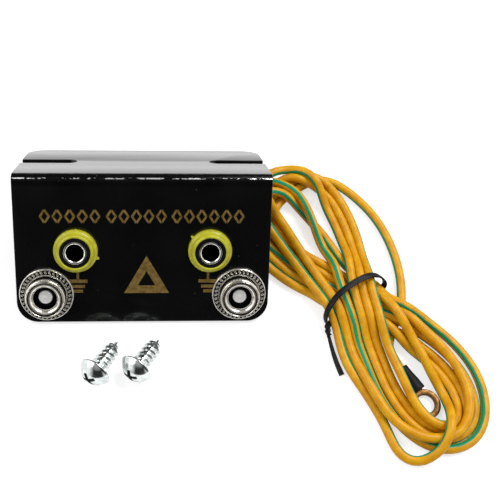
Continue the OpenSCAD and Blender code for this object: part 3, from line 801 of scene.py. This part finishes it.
barrel = [(1.9, -12.0), (2.2, -11.9)]
for k in range(21):
    barrel += [(2.5, -11.6 + 0.5 * k), (2.5, -11.5 + 0.5 * k), (2.24, -11.35 + 0.5 * k)]
socket = turned("jack_socket_left_piece", barrel + [
    (2.5, -1.0), (2.5, 1.6), (2.7, 1.6), (2.7, 2.36), (2.66, 2.46), (2.56, 2.5), (2.42, 2.5), (2.26, 2.43),
    (2.12, 2.3), (2.03, 2.12), (2.0, 1.9), (2.0, -10.4), (1.2, -10.5), (0.1, -10.52)])
# Painted shade: the inside of the bore is coloured near black.
painted_shade(socket, lambda r, z, up: r < 2.45 and z < 1.3)
smooth(socket)
put_both(socket, JACK_X, JACK_V, socket_plate, "bright_nickel", "jack_socket")

# %% [markdown]
# A snap has three pressed pieces: a base disc with a rolled rim and a crown of
# slanted ribs, the hollow stud with its rolled lip and cup, and the rivet that
# holds both. The ribs are one small bevelled bar, copied round the disc.

# %% Snap base
RIB_R, RIB_SLANT, RIBS = 5.58, 24, 36
base = turned("snap_base_left_piece", [
    (6.1, 0.0), (6.3, 0.04), (6.4, 0.2), (6.4, 0.62)] + arc(6.4, 0.62, 6.2, 0.86, 4) + [
    (6.08, 0.84), (6.02, 0.74), (5.96, 0.66), (5.2, 0.64), (5.16, 0.72), (5.12, 1.08), (5.05, 1.2), (4.9, 1.25),
    (4.72, 1.2), (4.62, 1.05), (4.55, 0.82), (0.4, 0.8)])
# Painted shade in the groove between the rim and the ribs, and inside the disc.
painted_shade(base, lambda r, z, up: 5.0 < r < 6.06 and z < 1.1 or r < 4.6 and z < 1.0)
rib = bar((0.80, 0.50, 0.66), (RIB_R, 0, 0.86))
bevelled(rib, 0.16, 2)
rib.data.transform(move((RIB_R, 0, 0)) @ rotated(RIB_SLANT) @ move((-RIB_R, 0, 0)))
ribs = [rib]
for k in range(1, RIBS):
    ribs.append(twin(rib, "rib"))
    ribs[-1].data.transform(rotated(360 / RIBS * k))
joined(base, ribs)
smooth(base)
put_both(base, SNAP_X, SNAP_V, nickel, "bright_nickel", "snap_base")

# %% [markdown]
# The stud is one thin cup with a double wall, drawn and rolled over at its
# lip. The rivet comes up through its bottom and shows as a small domed head.

# %% Snap stud and rivet
stud = turned("snap_stud_left_piece", [
    (4.35, 0.82), (4.45, 0.95), (4.42, 1.15), (4.2, 1.35), (3.98, 1.6), (3.9, 1.9), (3.92, 2.15), (4.15, 2.35),
    (4.5, 2.5), (4.65, 2.75), (4.68, 3.1), (4.65, 3.6)] + arc(4.65, 3.6, 4.3, 4.36, 6) + [
    (4.2, 4.38), (4.12, 4.3), (4.08, 4.1), (4.02, 3.9), (3.92, 3.88), (3.86, 4.0), (3.84, 4.12), (3.76, 4.22),
    (3.6, 4.24), (3.35, 4.12), (3.1, 3.9), (2.88, 3.6), (2.76, 3.3), (2.7, 2.6), (2.66, 1.9), (2.5, 1.5),
    (2.2, 1.34), (0.5, 1.3)])
# Painted shade in the groove under the lip, in the cup and under the waist.
painted_shade(stud, lambda r, z, up: 3.89 < r < 4.17 and 3.8 < z < 4.34 or r < 2.75 and z < 3.3 or r > 3.8 and z < 2.3)
smooth(stud, 40)
put_both(stud, SNAP_X, SNAP_V, nickel, "bright_nickel", "snap_stud")

rivet = turned("snap_rivet_left_piece", [
    (1.9, -2.4), (2.1, -2.3), (2.2, -2.1), (2.1, -2.0), (1.5, -2.0), (1.5, 1.32), (1.95, 1.34), (2.0, 1.42),
    (1.95, 1.52), (1.72, 1.6), (1.6, 1.8), (1.58, 2.3)] + arc(1.58, 2.3, 0.2, 2.7, 6), sides=64)
# Painted shade on the collar under the rivet's dome.
painted_shade(rivet, lambda r, z, up: r > 1.62 and z > 0)
smooth(rivet)
put_both(rivet, SNAP_X, SNAP_V, rivet_painted_highlight, "bright_nickel", "snap_rivet")

# %% [markdown]
# The two screws are sheet metal screws with domed heads and a cross recess.
# The head and core are one turned piece. The recess is two slots, narrower at
# the bottom, cut one after the other with a Boolean modifier: a single cross
# would be one awkward body, and a bar is easy to size and to bevel.

# %% Screw: head, core and recess
HEAD_R, HEAD_H, DOME_R = 4.0, 3, 4.1667
SLOT_L, SLOT_W, SLOT_TAPER = 4.7, 1.12, 0.45
dome = [(DOME_R * math.sin(a), HEAD_H - DOME_R + DOME_R * math.cos(a)) for a in map(math.radians, range(67, 2, -4))]
screw = turned("screw_left_piece", [
    (0.08, -9.45), (0.3, -8.9), (0.75, -8.1), (1.15, -7.4), (1.38, -6.8), (1.45, -6.2), (1.48, -3.0), (1.52, -0.5),
    (1.62, -0.16), (1.85, 0.0), (3.75, 0.02), (3.93, 0.07), (HEAD_R, 0.18), (3.99, 0.34)] + dome + [(0.06, HEAD_H)])
for size in ((SLOT_L, SLOT_W, 2.4), (SLOT_W, SLOT_L, 2.4)):
    slot = bar(size, (0, 0, 2.3))
    for vertex in slot.data.vertices:
        if vertex.co.z < 1.5:
            vertex.co.x *= SLOT_TAPER
            vertex.co.y *= SLOT_TAPER
    bevelled(slot, 0.08, 2)
    cut = screw.modifiers.new("recess", "BOOLEAN")
    cut.operation, cut.object, cut.solver = "DIFFERENCE", slot, "EXACT"
    alone(screw)
    bpy.ops.object.modifier_apply(modifier="recess")
    bpy.data.objects.remove(slot)
print("screw head and core", len(screw.data.polygons), "faces")

# %% [markdown]
# The thread is a small pointed profile wound up by a Screw modifier. It is
# then drawn in towards the point, where the core tapers and the crest fades.

# %% Screw: thread
PITCH, TURNS, STEPS, THREAD_FROM = 1.38, 6, 40, -8.95
CORE_R, CREST_H = 1.34, 0.76
profile = [(CORE_R, -0.27), (1.98, -0.06), (CORE_R + CREST_H, 0.0), (1.98, 0.05), (CORE_R, 0.22)]
deselect()
bpy.ops.mesh.primitive_circle_add(vertices=len(profile), fill_type="NGON", calc_uvs=False)
thread = bpy.context.object
for vertex, (r, z) in zip(thread.data.vertices, profile):
    vertex.co = (r, 0, z + THREAD_FROM)
winding = thread.modifiers.new("winding", "SCREW")
winding.axis, winding.screw_offset, winding.iterations = "Z", PITCH, TURNS
winding.steps = winding.render_steps = STEPS
winding.use_normal_calculate = winding.use_merge_vertices = False
bpy.ops.object.modifier_apply(modifier="winding")
for vertex in thread.data.vertices:
    r, z = vertex.co.xy.length, vertex.co.z
    core = float(np.interp(z, (-9.45, -8.1, -6.8), (0.1, 0.7, CORE_R)))
    crest = float(np.interp(z, (-9.3, -7.3, -1.2, -0.5), (0.05, CREST_H, CREST_H, 0.25)))
    vertex.co.xy *= (core + (r - CORE_R) / CREST_H * crest) / r
edit_all()
bpy.ops.mesh.fill_holes(sides=0)
faces_out()
joined(screw, [thread])


def screw_painted_shade(r, z, up):
    """Painted shade: dark in the recess, most on its walls, and under the thread's crests."""
    if r < 2.2 and 0.9 < z < -1.29 + math.sqrt(DOME_R ** 2 - r * r):
        return 0.25 if up > 0.9 else 0.85
    return 0.8 if -7.6 < z < -0.6 and up < -0.3 else 0.0


# Painted shade in the cross recess and under the thread.
painted_shade(screw, screw_painted_shade)
smooth(screw, 38)
print("screw", len(screw.data.polygons), "faces")

# %% [markdown]
# A screw on a table rests on its head's rim and on the last full crest of its
# thread, so it leans a little towards its point.

# %% Lay the screws down
LEAN = math.atan(1.9 / 7.3)


def laid(x, back, azimuth):
    lift = HEAD_R * math.cos(LEAN) - (DOME_R - HEAD_H) * math.sin(LEAN)
    return (TO_METRES @ move((x, -REACH_Y + DOME_R + back, lift)) @ rotated(azimuth)
            @ Matrix.Rotation(LEAN - math.pi / 2, 4, "Y") @ move((0, 0, DOME_R - HEAD_H)))


screw_right = twin(screw, "screw_right_piece")
for piece, side, place, recess_turn in ((screw, "left", laid(-10.4, 0, 57), 38),
                                        (screw_right, "right", laid(-0.8, 0.6, 55), 25)):
    put(piece, place @ rotated(recess_turn), zinc, "zinc_steel", "mounting_screw_" + side, body="screw_" + side)
print("lean", round(math.degrees(LEAN), 1), "degrees")

# %% [markdown]
# The bracket's own solid has the right shape, but pressed sheet never has
# knife edges, and paint rounds them further. A copy of it is merged, its flat
# triangles are dissolved, and a Bevel modifier rounds the sharp edges.

# %% Bracket
bracket = twin(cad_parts["bracket"], "bracket_piece")
bracket.parent = None
bracket.matrix_world = Matrix.Identity(4)
alone(bracket)
edit_all()
bpy.ops.mesh.remove_doubles(threshold=0.000002)
bpy.ops.mesh.dissolve_limited(angle_limit=math.radians(0.6))
bpy.ops.object.mode_set(mode="OBJECT")
bevelled(bracket, 0.00016, 3, limit_method="ANGLE", angle_limit=math.radians(40), use_clamp_overlap=True)
smooth(bracket, 28)
put(bracket, Matrix.Identity(4), paint, "bracket_black", "bracket")
print("bracket", len(bracket.data.polygons), "faces")

# %% [markdown]
# Behind the face sit the pieces that clamp the jacks and join them to the
# lead: washers, nuts, the link strip, the lug and the snaps' backing discs.
# Their solids have the right shapes already, so they stay and get a finish.

# %% Hidden hardware
HARDWARE = {"link_strip": brass, "lead_lug": socket_plate}
for side in ("_left", "_right"):
    HARDWARE.update({"jack_washer" + side: zinc, "jack_nut" + side: zinc, "terminal_nut" + side: zinc,
                     "snap_backing" + side: socket_plate})
for node_name, material in HARDWARE.items():
    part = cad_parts[node_name]
    part.data.materials.clear()
    part.data.materials.append(material)
print("hidden hardware:", len(HARDWARE), "pieces")

# %% [markdown]
# The tie is a flat black plastic band with a wire in it. A ribbon is best
# swept along points, like the lead: each ring is a flat section with a
# swelling for the wire, turned to look the way that the band looks there.

# %% Ribbon helper
HALF_SECTION = [(-0.5, -0.18), (-0.46, -0.36), (-0.2, -0.4), (0.0, -0.5), (0.2, -0.4), (0.46, -0.36), (0.5, -0.18)]


def ribbon(name, line, outward, width, thick):
    """Closed flat band along points in the hank, in millimetres. Outward says where its flat side looks."""
    line, outward = from_hank(line), hank_way(outward)
    way = unit(np.gradient(line, axis=0))
    out = unit(outward - (outward * way).sum(1)[:, None] * way)
    across = np.cross(way, out)
    width = np.broadcast_to(width, len(line))[:, None, None]
    section = np.array(HALF_SECTION + [(-x, -y) for x, y in HALF_SECTION])
    rings = line[:, None] + section[:, :1] * width * across[:, None] + section[:, 1:] * thick * out[:, None]
    piece = swept(name, rings * MM)
    alone(piece)
    bpy.ops.object.mode_set(mode="EDIT")
    faces_out()
    smooth(piece, 50)
    return piece


def through(points, step):
    """A smooth line through a few points: a Catmull-Rom curve, evenly spaced."""
    p = np.asarray(points, float)
    p = np.concatenate([2 * p[:1] - p[1:2], p, 2 * p[-1:] - p[-2:-1]])
    t = np.linspace(0, 1, 12, endpoint=False)[:, None]
    pieces = [0.5 * (2 * b + (c - a) * t + (2 * a - 5 * b + 4 * c - d) * t * t + (3 * b - a - 3 * c + d) * t ** 3)
              for a, b, c, d in zip(p, p[1:], p[2:], p[3:])]
    return spaced(np.concatenate(pieces + [p[-2:-1]]), step)


print("ribbon's section has", 2 * len(HALF_SECTION), "points")

# %% [markdown]
# The band runs round the bundle once and stands off it in a small curl at one
# side. At the other its two ends are twisted together, and one lies down as a
# flat tail.

# %% Tie
# Points as (u, w, height): round the bundle from the knot, over and back under.
BAND = [(3.0, -9.3, 1.6), (1.9, -9.45, 2.4), (0.9, -9.0, 3.7), (-0.2, -7.5, 5.4), (-1.4, -4.4, 6.5), (-2.1, 0.2, 6.75),
        (-2.1, 4.2, 6.5), (-1.5, 6.7, 5.7), (-0.5, 8.2, 4.5), (0.5, 8.8, 3.2), (1.0, 8.5, 1.7), (0.9, 7.2, 0.55),
        (0.6, 3.0, 0.32), (1.2, -3.0, 0.32), (2.2, -7.4, 0.36), (2.9, -8.9, 0.75), (3.4, -9.5, 1.3)]
KNOT = [(2.7, -9.1, 1.5), (3.3, -9.7, 1.9), (4.1, -10.1, 1.7), (5.0, -10.4, 1.4)]
TAIL = [(4.4, -10.2, 1.5), (5.8, -10.7, 1.25), (8.4, -11.5, 0.95), (11.7, -12.3, 0.62), (14.8, -12.8, 0.42)]
BUNDLE_MIDDLE, STRAND = (0.0, 0.0, 3.2), 0.28
band_line, knot_line, tail_line = through(BAND, 0.35), through(KNOT, 0.12), through(TAIL, 0.5)
tie_band = ribbon("tie_band", band_line, (band_line - BUNDLE_MIDDLE) * (0, 1, 1), 1.5, 0.55)
spin = np.linspace(0, math.radians(420), len(knot_line))
knot_out = np.stack([0 * spin, np.cos(spin), np.sin(spin)], 1)
knots = [ribbon("tie_knot_" + end, knot_line + off * knot_out, knot_out, 1.35, 0.55)
         for end, off in (("a", STRAND), ("b", -STRAND))]
roll = np.linspace(1.2, 0.35, len(tail_line))
tail_out = np.stack([0 * roll, -np.sin(roll), np.cos(roll)], 1)
tie_tail = ribbon("tie_tail", tail_line, tail_out, np.linspace(0.9, 1.3, len(tail_line)), 0.45)
for piece in (tie_band, *knots, tie_tail):
    put(piece, Matrix.Identity(4), tie_black, "sleeve_black")
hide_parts("twist_tie")
print("tie", len(tie_band.data.polygons), "faces, band", round(length_along(band_line)[-1], 1), "mm long")

# %% [markdown]
# The lead ends in a crimped ring terminal. Its barrel is under a heat-shrunk
# sleeve, which is wide over the barrel and narrow on the wire. The ring is
# flat and the barrel round, so the neck is turned and then flattened by moving
# its vertices towards the ring.

# %% Ring terminal and sleeve
RING_AT, SLEEVE_BACK, FLATTENED = (30.2, 0.5), 3.5, 0.86


def in_hank(u, w, z):
    """Matrix from millimetres at a place in the hank to metres in the scene."""
    return TO_METRES @ move((HANK_X, HANK_Y, 0)) @ Matrix.Rotation(HANK_TURN, 4, "Z") @ move((u, w, z))


terminal = turned("ring_terminal_piece", [
    (2.28, 0.0), (3.4, 0.0), (3.52, 0.05), (3.58, 0.2), (3.58, 0.6), (3.52, 0.75), (3.4, 0.8), (2.28, 0.8),
    (2.17, 0.74), (2.15, 0.62), (2.15, 0.18), (2.17, 0.06), (2.28, 0.0)], hollow=True)
neck = turned("neck", [
    (1.05, 0.0), (1.2, 0.05), (1.22, 0.35), (1.2, 0.9), (1.12, 2.2), (1.15, 4.6), (1.05, 4.7)], sides=40)
neck.data.transform(move((-3.35, 0, 0.95)) @ rotated(-90, "Y"))
for vertex in neck.data.vertices:
    flat = min(1.0, max(0.0, (vertex.co.x + 5.0) / 1.6))
    vertex.co.z = 0.4 + (vertex.co.z - 0.95) * (1 - 0.68 * flat) + 0.75 * (1 - flat)
    vertex.co.y *= 1 + 0.35 * flat
joined(terminal, [neck])
smooth(terminal, 40)
put(terminal, in_hank(*RING_AT, 0.6), terminal_brass, "plain_brass", "ring_terminal")

sleeve = turned("heat_shrink_piece", [
    (1.2, 0.0), (1.86, 0.0), (1.93, 0.06), (1.95, 0.2), (1.88, 0.9), (1.80, 1.5), (1.78, 2.0), (1.70, 2.6),
    (1.60, 3.2), (1.46, 4.0), (1.38, 4.8), (1.29, 5.6), (1.26, 6.2), (1.2, 6.42), (1.15, 6.42), (1.15, 3.0),
    (1.2, 0.0)], hollow=True, sides=64)
sleeve.data.transform(Matrix.Scale(FLATTENED, 4, (0, 0, 1)) @ rotated(-90, "Y"))
smooth(sleeve, 40)
put(sleeve, in_hank(RING_AT[0] - SLEEVE_BACK, RING_AT[1], SLEEVE_Z), sleeve_skin, "sleeve_black", "heat_shrink")
print("terminal", len(terminal.data.polygons), "sleeve", len(sleeve.data.polygons), "faces")

# %% [markdown]
# The face is printed in a thin gold ink. The marks are generic: an earth
# symbol under each jack, a plain triangle outline, and a row of small
# lozenges. Each mark is a flat plane laid a hair above the paint, raised to
# the thickness of the ink, because a real edge catches light as ink does.

# %% Print on the face
INK_Z, INK_T = 0.012, 0.03


def gold_ink():
    material, skin, nodes = finish("gold_ink", (0.30, 0.17, 0.035), Metallic=0.55, Roughness=0.42)
    cloud = nodes.noise(nodes.place(), 1300.0, 4.0)
    fill(skin, Base_Color=nodes.tone(cloud, (0.3, (0.16, 0.098, 0.022)), (0.62, (0.33, 0.215, 0.06))),
         Normal=nodes.bump(cloud, 0.2, 0.00002))
    return material


ink = gold_ink()


def printed(name, bars):
    """Flat bars of ink: (x, v, width, height, turn in degrees), raised off the face."""
    marks = []
    for x, v, wide, high, turned_by in bars:
        deselect()
        bpy.ops.mesh.primitive_plane_add(size=1)
        mark = bpy.context.object
        bpy.ops.object.mode_set(mode="EDIT")
        bpy.ops.transform.resize(value=(wide, high, 1))
        bpy.ops.mesh.extrude_region_move(TRANSFORM_OT_translate={"value": (0, 0, INK_T)})
        faces_out()
        mark.data.transform(move((x, -v, INK_Z)) @ rotated(turned_by))
        marks.append(mark)
    joined(marks[0], marks[1:])
    marks[0].name = marks[0].data.name = name
    put(marks[0], on_face(0, 0), ink, "bracket_black")


for side, x in (("left", -15.4), ("right", 15.4)):
    printed("earth_mark_" + side, [(x, v, wide, high, 0) for v, wide, high in (
        (24.35, 0.6, 1.9), (25.7, 4.5, 0.85), (27.0, 3.2, 0.75), (28.2, 2.2, 0.75))])
# Four short bars make a lozenge, and the lozenges stand in three groups.
lozenges = [(start + 1.3 + 2.9 * k + across, v, 0.5, 1.9, lean)
            for start, count in ((-24.0, 5), (-8.6, 5), (6.6, 6)) for k in range(count)
            for across, v, lean in ((-0.55, 9.15, -33), (0.55, 9.15, 33), (-0.55, 10.6, 33), (0.55, 10.6, -33))]
printed("lozenge_marks", lozenges)

# The triangle: three corners, inset, its middle taken out, raised.
deselect()
bpy.ops.mesh.primitive_circle_add(vertices=3, radius=6.2, fill_type="NGON", location=(0, 0, INK_Z))
triangle = bpy.context.object
triangle.name = triangle.data.name = "triangle_mark"
bpy.ops.object.transform_apply(location=True, rotation=False, scale=False)
edit_all()
bpy.ops.mesh.inset(thickness=1.9, depth=0)
bpy.ops.mesh.delete(type="FACE")
bpy.ops.mesh.select_all(action="SELECT")
bpy.ops.mesh.extrude_region_move(TRANSFORM_OT_translate={"value": (0, 0, INK_T)})
faces_out()
put(triangle, on_face(0.8, 25.6), ink, "bracket_black")
print("prints done:", len(lozenges) // 4, "lozenges")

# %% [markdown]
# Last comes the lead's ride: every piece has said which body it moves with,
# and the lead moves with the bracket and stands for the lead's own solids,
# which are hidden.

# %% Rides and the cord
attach(lead, "bracket")
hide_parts("ground_lead", "ground_lead_hank", "ground_lead_tail")
